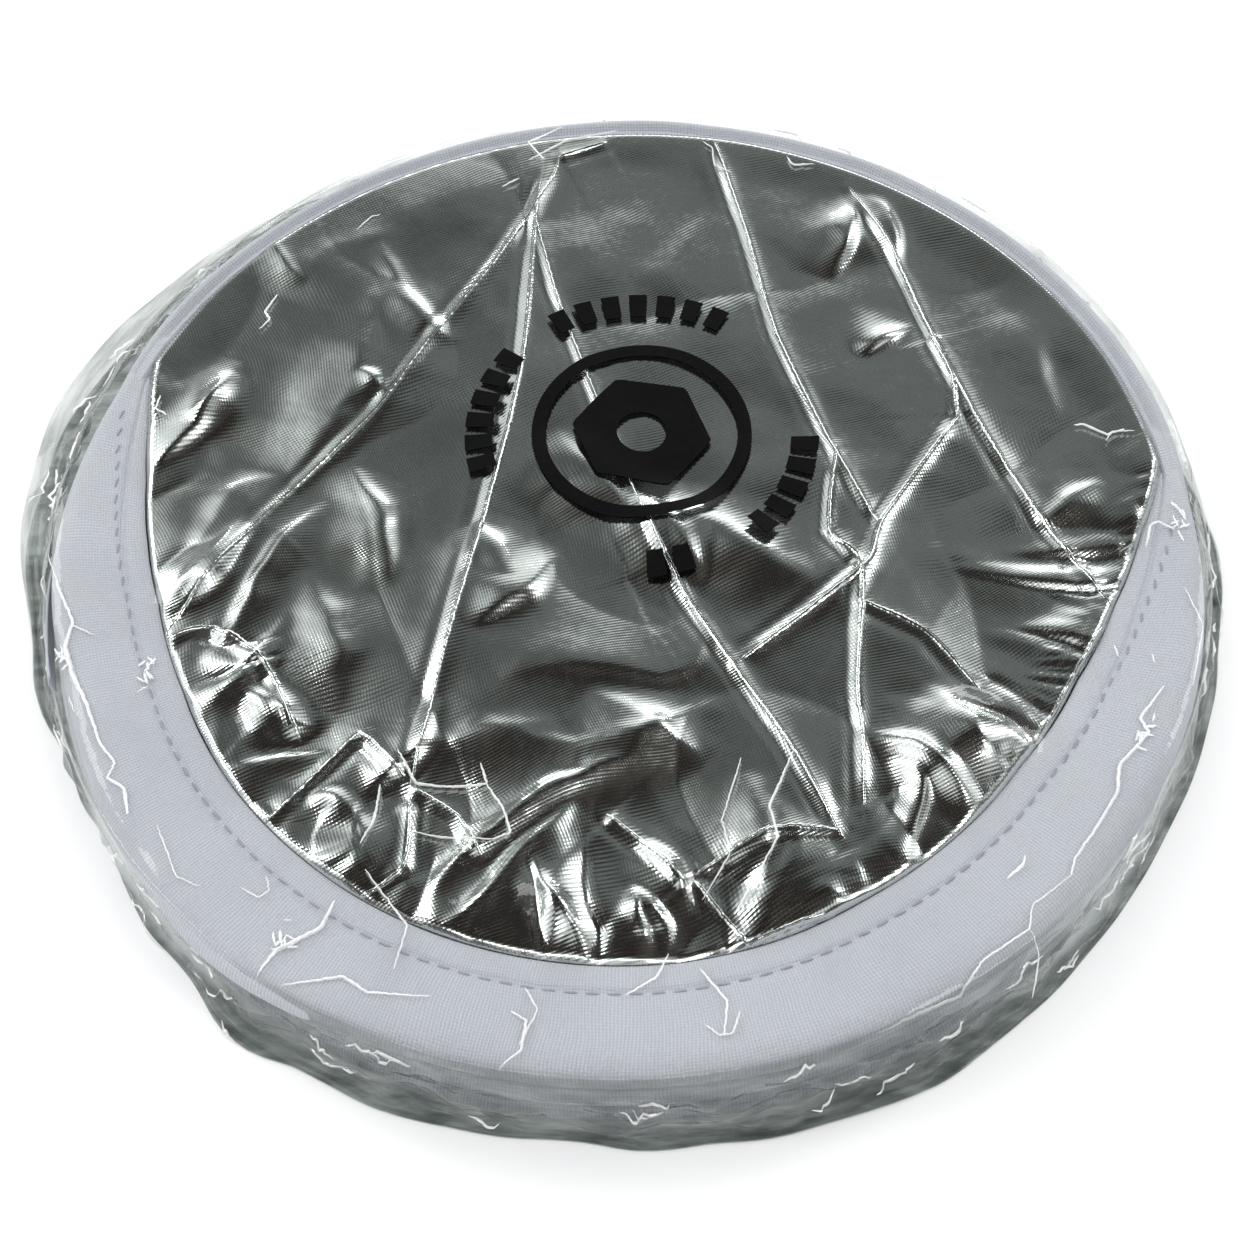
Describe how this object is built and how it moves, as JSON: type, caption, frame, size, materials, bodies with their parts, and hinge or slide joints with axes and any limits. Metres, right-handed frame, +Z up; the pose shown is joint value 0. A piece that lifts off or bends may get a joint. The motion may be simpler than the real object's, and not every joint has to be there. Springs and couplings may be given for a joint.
{
  "type": "collapsible reflector disc",
  "caption": "Collapsible photo reflector disc, coiled flat for storage: silver and white cloth sewn in a taped steel hoop, in a clear plastic bag.",
  "frame": {"origin": "centre of the coiled disc, on the surface that its bag lies on", "axes": "+Z up through the stacked loops, +X to the hinge of the bottom and middle loops, -Y to the near side, the way the bag comes off"},
  "size_m": [0.228, 0.228, 0.0244],
  "materials": {
    "spring_steel": "satin rolled spring steel",
    "sleeve_metal": "plated steel",
    "binding_tape": "matt white knitted tape",
    "seam_thread": "matt polyester thread",
    "silver_cloth": "bright metallised woven cloth",
    "white_cloth": "matt white woven cloth",
    "clear_film": "thin clear glossy film",
    "black_ink": "printed ink"
  },
  "bodies": {
    "bottom_loop": {"bottom_steel_band": "spring_steel", "bottom_binding_tape": "binding_tape", "bottom_needle_thread": "seam_thread", "bottom_bobbin_thread": "seam_thread", "bottom_silver_cloth": "silver_cloth", "bottom_white_cloth": "white_cloth", "splice_sleeve": "sleeve_metal", "splice_rivet_1": "sleeve_metal", "splice_rivet_2": "sleeve_metal", "right_crossover_tape": "binding_tape"},
    "middle_loop": {"middle_steel_band": "spring_steel", "middle_binding_tape": "binding_tape", "middle_needle_thread": "seam_thread", "middle_bobbin_thread": "seam_thread", "middle_silver_cloth": "silver_cloth", "middle_white_cloth": "white_cloth", "left_crossover_tape": "binding_tape"},
    "top_loop": {"top_steel_band": "spring_steel", "top_binding_tape": "binding_tape", "top_needle_thread": "seam_thread", "top_bobbin_thread": "seam_thread", "top_silver_cloth": "silver_cloth", "top_white_cloth": "white_cloth"},
    "bag": {"bag_front_film": "clear_film", "bag_back_film": "clear_film", "bag_print_ring": "black_ink"}
  },
  "joints": [
    {"name": "middle_loop_swing", "type": "hinge", "parent": "bottom_loop", "child": "middle_loop", "pos_m": [0.1045, 0, 0.008], "axis": [0, 1, 0], "range_deg": [0, 179], "deforming": ["right_crossover_tape"]},
    {"name": "top_loop_swing", "type": "hinge", "parent": "middle_loop", "child": "top_loop", "pos_m": [-0.1045, 0, 0.0156], "axis": [0, -1, 0], "range_deg": [0, 179], "deforming": ["left_crossover_tape"]},
    {"name": "bag_slide", "type": "slide", "parent": "bottom_loop", "child": "bag", "axis": [0, -1, 0], "range_m": [0, 0.26], "deforming": ["bag_front_film", "bag_print_ring"]}
  ],
  "couplings": [
    {"joint": "top_loop_swing", "follows": "middle_loop_swing", "ratio": 1},
    {"joint": "bag_slide", "follows": "middle_loop_swing", "m_per_rad": 0.0827}
  ]
}
